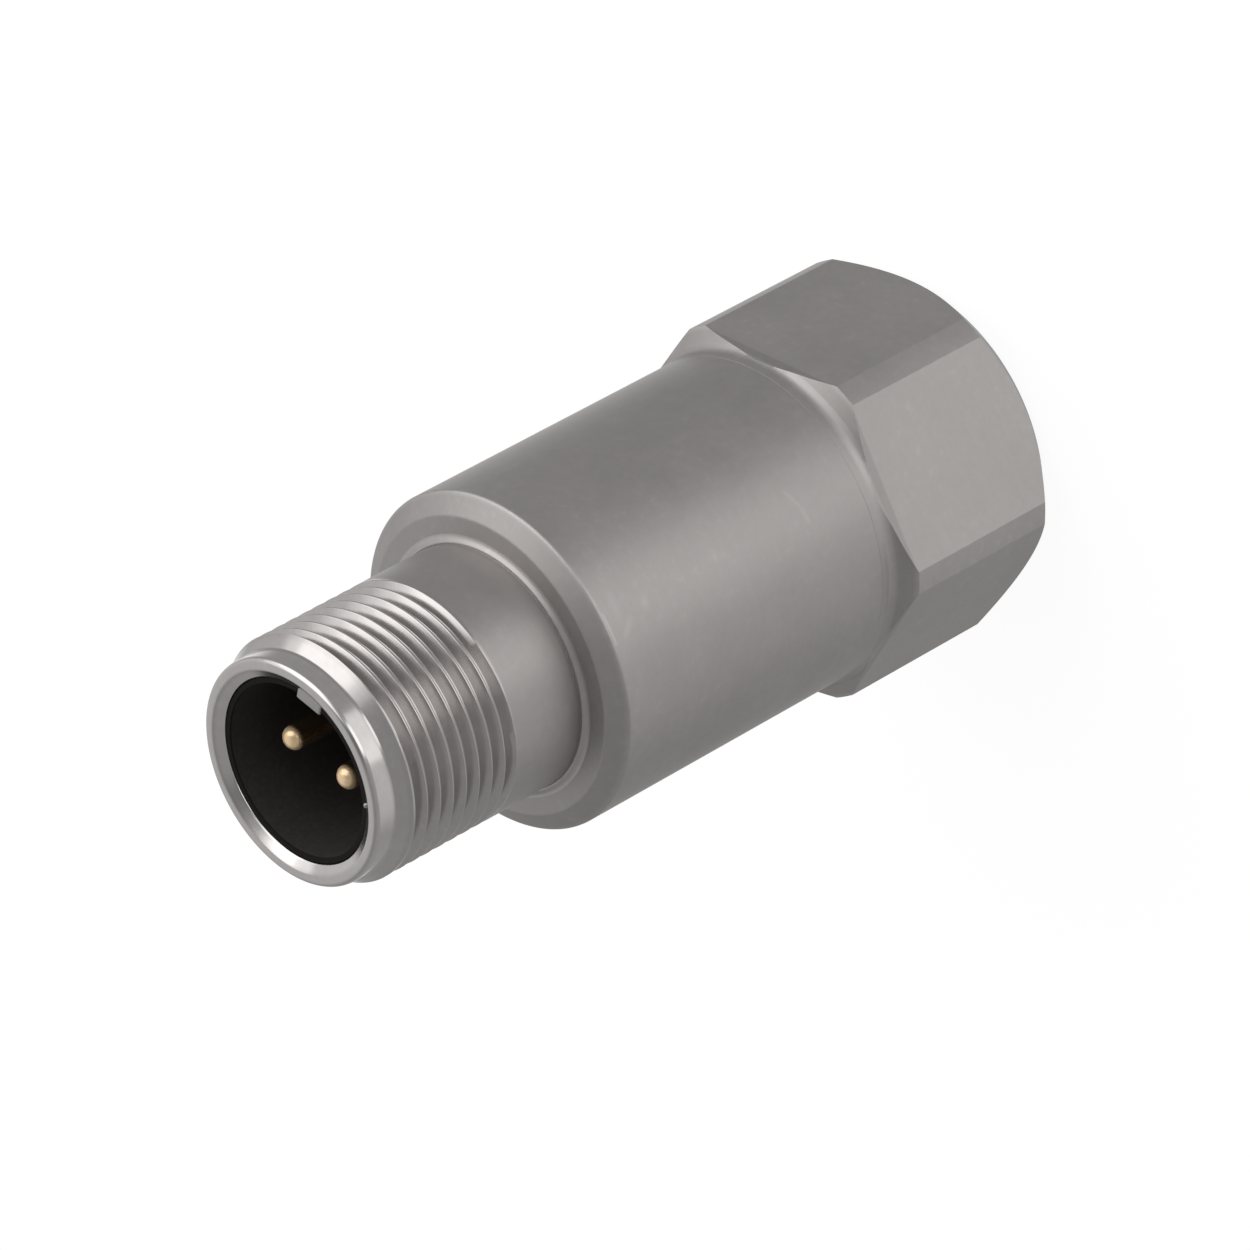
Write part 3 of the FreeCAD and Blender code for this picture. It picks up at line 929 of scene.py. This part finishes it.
@dataclass
class HexBase:
    """Hexagonal base with turned corners, the collar under the case and the tapped mounting hole."""

    flat_distance: float = 11.049
    corner_radius: float = 12.331
    length: float = 13.2
    cone_top: float = 13.985
    edge_chamfer: float = 1.835
    collar_radius: float = 10.975
    collar_top: float = 15.0
    collar_fillet: float = 0.464
    collar_rounding: float = 0.015
    spigot_radius: float = 9.27
    spigot_top: float = 16.5
    hole_radius: float = 2.75
    tap_radius: float = 3.175
    countersink: float = 0.4
    tapped_depth: float = 6.6
    drilled_depth: float = 7.0
    point_depth: float = 8.652
    pitch: float = 0.907
    crest_flat: float = 0.22
    root_flat: float = 0.11
    thread_steps: int = 64
    seam: float = 0.04
    edge_width: float = 0.09
    edge_angle: float = 18.0
    finish: Finish = SatinSteel(
        "base_steel",
        tone=(0.483, 0.462, 0.453),
        line_height=0.0004,
        radius=12.331,
        # The cuts paint the cones above the flats darker, and the collar and spigot slightly darker: painted
        # shade.
        cuts=(Cut(13.3, 0.48, 0.85), Cut(13.95, 0.48, 0.96)),
    )

    def build(self) -> None:
        """Builds the base."""
        body = Lathe().turned(self.corners(), closed=False)
        self.mill_flats(body)
        thread = RightHandThread(
            pitch=self.pitch,
            surface_radius=self.hole_radius,
            root_radius=self.tap_radius,
            bottom=self.countersink + self.seam,
            top=self.tapped_depth - self.seam,
            crest_level=self.tapped_depth / 2,
            crest_flat=self.crest_flat,
            root_flat=self.root_flat,
            steps=self.thread_steps,
        )
        thread.sew_into(body, self.seam)
        edges = (self.edge_width, self.edge_angle)
        Piece("hex_foot", Slot.STEEL, self.finish, ("hex_base",), *edges).place(body)

    def corners(self) -> list[Corner]:
        """Lists the corners of the base, open along its tapped wall.

        Returns:
            Profile from the countersink round the outside, over the spigot and down to the tapped wall.
        """
        return [
            (self.hole_radius, self.countersink),
            (self.hole_radius + self.countersink, 0.0),
            (self.corner_radius - self.edge_chamfer, 0.0),
            (self.corner_radius, self.edge_chamfer),
            (self.corner_radius, self.length),
            (self.collar_radius, self.cone_top, self.collar_fillet),
            (self.collar_radius, self.collar_top, self.collar_rounding),
            (self.spigot_radius, self.collar_top),
            (self.spigot_radius, self.spigot_top),
            (0.0, self.spigot_top),
            (0.0, self.point_depth),
            (self.hole_radius, self.drilled_depth),
            (self.hole_radius, self.tapped_depth),
        ]

    def mill_flats(self, body: bmesh.types.BMesh) -> None:
        """Cuts the six flats and closes each with one face.

        Args:
            body: turned mesh of the base.
        """
        for side in range(6):
            outward = at_clock(1.0, 60.0 * side + 30.0)
            cut = bmesh.ops.bisect_plane(
                body,
                geom=body.verts[:] + body.edges[:] + body.faces[:],
                dist=CUT_TOLERANCE,
                plane_co=outward * self.flat_distance,
                plane_no=outward,
                clear_outer=True,
            )
            edges = [item for item in cut["geom_cut"] if isinstance(item, bmesh.types.BMEdge)]
            bmesh.ops.contextual_create(body, geom=[edge for edge in edges if edge.is_boundary])


@dataclass
class SocketInsert:
    """Black moulded insert with its liner and key slot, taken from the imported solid."""

    node: str = "connector_insert"
    merge_distance: float = 1e-3
    edge_width: float = 0.05
    edge_angle: float = 40.0
    # The liner's front end near the mouth is painted near-black: painted shade.
    finish: Finish = Moulding(
        "insert_moulding", (0.034, 0.031, 0.029), (0.052, 0.048, 0.045), 0.5, shine=0.05, painted_shade_above=53.5
    )

    def build(self) -> None:
        """Merges a copy of the solid and breaks its edges."""
        mesh = bmesh.new()
        mesh.from_mesh(frame["nodes"][self.node].data)
        bmesh.ops.scale(mesh, vec=(1 / MM, 1 / MM, 1 / MM), verts=mesh.verts)
        bmesh.ops.remove_doubles(mesh, verts=mesh.verts, dist=self.merge_distance)
        edges = (self.edge_width, self.edge_angle)
        Piece("moulded_insert", Slot.MOULDING, self.finish, (self.node,), *edges).place(mesh)


@dataclass
class Contacts:
    """Two gold-plated contacts with round noses."""

    clock: float = 50.7
    spacing: float = 4.6
    radius: float = 0.785
    collar_radius: float = 1.2
    tail_radius: float = 0.6
    cup_radius: float = 0.95
    cup_bore: float = 0.45
    cup_bottom: float = 35.7
    cup_floor: float = 37.2
    cup_top: float = 37.9
    collar_bottom: float = 40.8
    collar_top: float = 41.4
    tip: float = 52.1
    nose: float = 0.70
    finish: Finish = PlatedMetal(
        "contact_plating", (1.0, 0.80, 0.54), (0.94, 0.64, 0.34), 0.24, satin_above=51.4
    )

    def build(self) -> None:
        """Builds both contacts."""
        lathe = Lathe(steps=48, rounding_segments=8)
        corners = [
            (0.0, self.cup_floor),
            (self.cup_bore, self.cup_floor),
            (self.cup_bore, self.cup_bottom),
            (self.cup_radius, self.cup_bottom),
            (self.cup_radius, self.cup_top),
            (self.tail_radius, self.cup_top),
            (self.tail_radius, self.collar_bottom),
            (self.collar_radius, self.collar_bottom),
            (self.collar_radius, self.collar_top),
            (self.radius, self.collar_top),
            (self.radius, self.tip, self.nose),
            (0.0, self.tip),
        ]
        for side, turn in (("a", 0.0), ("b", 180.0)):
            mesh = lathe.turned(corners, closed=False)
            bmesh.ops.translate(mesh, vec=at_clock(self.spacing / 2, self.clock + turn), verts=mesh.verts)
            Piece(f"contact_{side}", Slot.GOLD, self.finish, (f"contact_pin_{side}",)).place(mesh)


@dataclass
class InnerWorks:
    """Solids inside the case and the barrel, which stay as packed and take the finish of their slot."""

    finishes: tuple[tuple[Slot, Finish], ...] = (
        (Slot.RUBBER, Moulding("black_rubber", (0.03, 0.03, 0.03), (0.055, 0.055, 0.055), 0.72, 2.0)),
        (Slot.MOULDING, Moulding("black_moulding", (0.014, 0.013, 0.012), (0.03, 0.029, 0.027), 0.48)),
        (
            Slot.GLASS,
            Moulding("fused_glass", (0.09, 0.17, 0.15), (0.16, 0.25, 0.22), 0.12, 1.2, 0.3, 0.001, 0.6),
        ),
        (
            Slot.ALUMINA,
            Moulding("lapped_alumina", (0.78, 0.76, 0.70), (0.86, 0.84, 0.79), 0.42, 5.0, 0.3, 0.001),
        ),
        (Slot.GROUND_STEEL, PlatedMetal("ground_steel", (0.46, 0.46, 0.47), (0.36, 0.36, 0.37), 0.30, 6.0)),
        (Slot.CRYSTAL, Moulding("silvered_crystal", (0.44, 0.39, 0.29), (0.55, 0.50, 0.40), 0.38, 4.0)),
        (Slot.BRONZE, PlatedMetal("rolled_bronze", (0.74, 0.49, 0.28), (0.62, 0.38, 0.20), 0.28, 8.0)),
        (
            Slot.FILM,
            Moulding("amber_film", (0.55, 0.26, 0.04), (0.66, 0.35, 0.08), 0.30, 1.5, 0.3, 0.0005, 0.4),
        ),
        (Slot.SHIELD, PlatedMetal("drawn_nickel_alloy", (0.64, 0.63, 0.59), (0.54, 0.53, 0.49), 0.26, 3.0)),
        (
            Slot.LAMINATE,
            Moulding("solder_mask", (0.025, 0.16, 0.05), (0.04, 0.22, 0.08), 0.33, 2.5, 0.3, 0.001, 0.5),
        ),
        (Slot.COMPONENT, Moulding("component_body", (0.42, 0.30, 0.18), (0.52, 0.40, 0.26), 0.45, 6.0)),
        (Slot.COPPER, PlatedMetal("tinned_copper", (0.80, 0.44, 0.28), (0.68, 0.34, 0.20), 0.30, 5.0)),
    )

    def dress(self) -> None:
        """Gives each solid that is still shown its finish."""
        made = {slot.value: finish.material() for slot, finish in self.finishes}
        slots = {entry["node"]: entry["material_slot"] for entry in frame["record"]["subparts"]}
        for name, solid in sorted(frame["nodes"].items()):
            if solid.hide_render:
                continue
            solid.data.materials.clear()
            solid.data.materials.append(made[slots[name]])
            log.info("%s: dressed in %s", name, slots[name])


# The studio


@dataclass(frozen=True)
class Softbox:
    """A flat lamp that faces the sensor, with its distance and sides in metres."""

    name: str
    clock: float
    rise: float
    distance: float
    width: float
    height: float
    brightness: float

    def build(self, target: Vector) -> None:
        """Sets the lamp up.

        Args:
            target: point that it faces, in metres.
        """
        power = self.brightness * math.pi * self.width * self.height
        lamp = bpy.data.lights.new(self.name, "AREA")
        lamp.shape = "RECTANGLE"
        lamp.size = self.width
        lamp.size_y = self.height
        lamp.energy = power
        held = bpy.data.objects.new(self.name, lamp)
        bpy.context.scene.collection.objects.link(held)
        outward = towards(self.clock, self.rise)
        held.location = target + outward * self.distance
        held.rotation_euler = outward.to_track_quat("Z", "Y").to_euler()
        held.visible_camera = False
        log.info("lamp %s: %.2f W", self.name, power)


@dataclass(frozen=True)
class Patch:
    """A soft round patch of the room that is lighter, or darker, than the rest."""

    clock: float
    rise: float
    full_within: float
    gone_beyond: float
    level: float

    def glow(self, bench: ShaderBench, direction: Signal) -> Signal:
        """What the patch adds to the room's level.

        Args:
            bench: bench of the world.
            direction: direction that is looked in.

        Returns:
            The patch's level, fading out between its two angles.
        """
        sides = {0: direction, 1: towards(self.clock, self.rise)}
        facing = bench.node("ShaderNodeVectorMath", {"operation": "DOT_PRODUCT"}, sides, "Value")
        edge, full = (math.cos(math.radians(angle)) for angle in (self.gone_beyond, self.full_within))
        return bench.fade(facing, edge, full) * self.level


@dataclass(frozen=True)
class PhotoCamera:
    """The photograph's camera: the point that it faces and its place about that point, in millimetres."""

    target: tuple[float, float, float] = (-1.72, -0.33, 27.23)
    distance: float = 506.79
    clock: float = -79.01
    rise: float = 37.23
    roll: float = -118.67
    lens: float = 242.2
    sensor: float = 36.0
    nearest: float = 10.0
    farthest: float = 20000.0

    def build(self) -> None:
        """Stands the camera in its place and makes it the scene's own."""
        lens = bpy.data.cameras.new("camera")
        lens.lens = self.lens
        lens.sensor_width = self.sensor
        lens.clip_start = self.nearest * MM
        lens.clip_end = self.farthest * MM
        camera = bpy.data.objects.new("camera", lens)
        bpy.context.scene.collection.objects.link(camera)
        outward = towards(self.clock, self.rise)
        turn = outward.to_track_quat("Z", "Y") @ Quaternion((0.0, 0.0, 1.0), math.radians(self.roll))
        camera.location = (Vector(self.target) + outward * self.distance) * MM
        camera.rotation_euler = turn.to_euler()
        bpy.context.scene.camera = camera


@dataclass
class Studio:
    """White floor, pale surroundings, soft lamps and the camera."""

    floor_side: float = 4.0
    floor_drop: float = 0.0002
    floor_glow: float = 1.08
    floor_paint: float = 0.9
    paint_share: float = 0.15
    low_level: float = 0.385
    high_level: float = 0.37
    level_rise: tuple[float, float] = (-0.10, 0.85)
    patches: tuple[Patch, ...] = (
        Patch(70.0, 36.0, 25.0, 62.0, 0.34),
        Patch(-131.0, -37.0, 8.0, 42.0, 0.25),
        Patch(-84.0, 62.0, 6.0, 23.0, -0.20),
    )
    backdrop: Patch = Patch(90.0, -37.0, 3.0, 32.0, 1.0)
    lamp_target: tuple[float, float, float] = (0.0, 0.0, 0.03)
    lamps: tuple[Softbox, ...] = (
        Softbox("key_softbox", -6.0, 37.0, 0.60, 0.56, 0.60, 0.85),
        Softbox("key_veil", -4.0, 36.0, 0.62, 0.96, 0.76, 0.6),
        Softbox("low_softbox", -81.0, -34.0, 0.60, 0.46, 0.34, 0.64),
        Softbox("front_softbox", -80.0, 4.0, 0.60, 0.32, 0.48, 1.25),
    )
    camera: PhotoCamera = PhotoCamera()

    def build(self) -> None:
        """Sets up the floor, the room, the lamps and the camera."""
        self.lay_floor()
        self.light_room()
        for lamp in self.lamps:
            lamp.build(Vector(self.lamp_target))
        self.camera.build()

    def lay_floor(self) -> None:
        """Lays the floor, which catches the sensor's shadow and is left out of reflections."""
        mesh = bmesh.new()
        bmesh.ops.create_grid(mesh, x_segments=1, y_segments=1, size=self.floor_side / 2)
        bmesh.ops.translate(mesh, vec=(0, 0, -self.floor_drop), verts=mesh.verts)
        data = bpy.data.meshes.new("studio_floor")
        mesh.to_mesh(data)
        mesh.free()
        data.materials.append(self.floor_material())
        floor = bpy.data.objects.new("studio_floor", data)
        bpy.context.scene.collection.objects.link(floor)
        floor.visible_diffuse = False
        floor.visible_glossy = False
        floor.visible_transmission = False
        floor.visible_shadow = False

    def floor_material(self) -> bpy.types.Material:
        """Makes the floor's paint.

        Returns:
            White that shows a pale shadow.
        """
        made = bpy.data.materials.new("studio_white")
        made.use_nodes = True
        bench = ShaderBench(made.node_tree)
        seen = bench.node("ShaderNodeLightPath", output="Is Camera Ray")
        pale = (self.floor_paint, self.floor_paint, self.floor_paint, 1)
        light = {"Color": (1, 1, 1, 1), "Strength": seen * self.floor_glow}
        glow = bench.node("ShaderNodeEmission", inputs=light)
        paint = bench.node("ShaderNodeBsdfDiffuse", inputs={"Color": pale})
        both = bench.node("ShaderNodeMixShader", inputs={0: self.paint_share, 1: glow, 2: paint})
        bench.node("ShaderNodeOutputMaterial", inputs={"Surface": both})
        return made

    def light_room(self) -> None:
        """Makes the surroundings white to the camera, and pale with a white backdrop to the sensor."""
        world = bpy.data.worlds.new("studio_room")
        bpy.context.scene.world = world
        world.use_nodes = True
        bench = ShaderBench(world.node_tree)
        seen = bench.node("ShaderNodeLightPath", output="Is Camera Ray")
        glossy = bench.node("ShaderNodeLightPath", output="Is Glossy Ray")
        through = bench.node("ShaderNodeLightPath", output="Is Transmission Ray")
        direction = bench.node("ShaderNodeTexCoord", output="Generated")
        upward = bench.fade(bench.part_of(direction, "Z"), *self.level_rise)
        level = self.low_level - upward * (self.low_level - self.high_level)
        for patch in self.patches:
            level = level + patch.glow(bench, direction)
        white = seen + (glossy + through) * self.backdrop.glow(bench, direction)
        strength = level + white * (1 - level)
        glow = bench.node("ShaderNodeBackground", inputs={"Color": (1, 1, 1, 1), "Strength": strength})
        bench.node("ShaderNodeOutputWorld", inputs={"Surface": glow})


def main() -> None:
    """Builds the sensor piece by piece and sets up the studio."""
    logging.basicConfig(level=logging.INFO, format="%(message)s")
    bpy.context.scene.view_settings.view_transform = "Standard"
    for assembly in (ConnectorBarrel(), RoundCase(), HexBase(), SocketInsert(), Contacts()):
        assembly.build()
    InnerWorks().dress()
    Studio().build()


if __name__ == "__main__":
    main()
